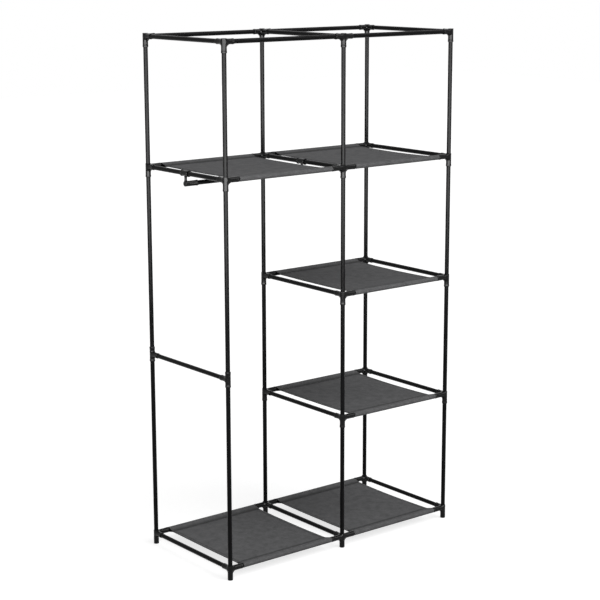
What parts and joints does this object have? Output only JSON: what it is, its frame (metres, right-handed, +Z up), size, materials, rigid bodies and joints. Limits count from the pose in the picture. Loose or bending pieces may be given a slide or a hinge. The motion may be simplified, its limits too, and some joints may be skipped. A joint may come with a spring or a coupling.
{
  "type": "fabric-shelf wardrobe frame",
  "caption": "Free-standing plug-together wardrobe frame of thin steel tubes and moulded connectors, with fabric shelves in one bay and a hanging rail in the other.",
  "frame": {"origin": "on the floor, under the centre of the frame", "axes": "+X to the right along the front, with the hanging bay on the left; +Y to the back; +Z up"},
  "size_m": [0.9145, 0.4254, 1.645],
  "materials": {
    "tube_steel": "satin",
    "connector_plastic": "satin",
    "shelf_fabric": "matte"
  },
  "bodies": {
    "frame": {"base_back_rail_left": "tube_steel", "base_back_rail_right": "tube_steel", "base_corner_connectors": "connector_plastic", "base_front_rail_left": "tube_steel", "base_front_rail_right": "tube_steel", "base_shelf_left": "shelf_fabric", "base_shelf_right": "shelf_fabric", "base_side_rail_centre": "tube_steel", "base_side_rail_left": "tube_steel", "base_side_rail_right": "tube_steel", "base_tee_connectors": "connector_plastic", "brace_side_rail_left": "tube_steel", "brace_tee_connectors": "connector_plastic", "centre_uprights_base_to_lower": "tube_steel", "centre_uprights_lower_to_middle": "tube_steel", "centre_uprights_middle_to_upper": "tube_steel", "centre_uprights_upper_to_top": "tube_steel", "left_uprights_base_to_brace": "tube_steel", "left_uprights_brace_to_upper": "tube_steel", "left_uprights_upper_to_top": "tube_steel", "lower_back_rail_right": "tube_steel", "lower_corner_connectors": "connector_plastic", "lower_front_rail_right": "tube_steel", "lower_shelf_right": "shelf_fabric", "lower_side_rail_centre": "tube_steel", "lower_side_rail_right": "tube_steel", "middle_back_rail_right": "tube_steel", "middle_corner_connectors": "connector_plastic", "middle_front_rail_right": "tube_steel", "middle_shelf_right": "shelf_fabric", "middle_side_rail_centre": "tube_steel", "middle_side_rail_right": "tube_steel", "right_uprights_base_to_lower": "tube_steel", "right_uprights_lower_to_middle": "tube_steel", "right_uprights_middle_to_upper": "tube_steel", "right_uprights_upper_to_top": "tube_steel", "top_back_rail_left": "tube_steel", "top_back_rail_right": "tube_steel", "top_corner_connectors": "connector_plastic", "top_front_rail_left": "tube_steel", "top_front_rail_right": "tube_steel", "top_side_rail_centre": "tube_steel", "top_side_rail_left": "tube_steel", "top_side_rail_right": "tube_steel", "top_tee_connectors": "connector_plastic", "upper_back_rail_left": "tube_steel", "upper_back_rail_right": "tube_steel", "upper_corner_connectors": "connector_plastic", "upper_front_rail_left": "tube_steel", "upper_front_rail_right": "tube_steel", "upper_shelf_left": "shelf_fabric", "upper_shelf_right": "shelf_fabric", "upper_side_rail_centre": "tube_steel", "upper_side_rail_left": "tube_steel", "upper_side_rail_right": "tube_steel", "upper_tee_connectors": "connector_plastic"},
    "hanging_rail": {"hanging_rail": "tube_steel", "hanging_rail_holders": "connector_plastic"}
  },
  "joints": [
    {"name": "hanging_rail_slide", "type": "slide", "parent": "frame", "child": "hanging_rail", "axis": [0, 1, 0], "range_m": [-0.15, 0.15]}
  ]
}
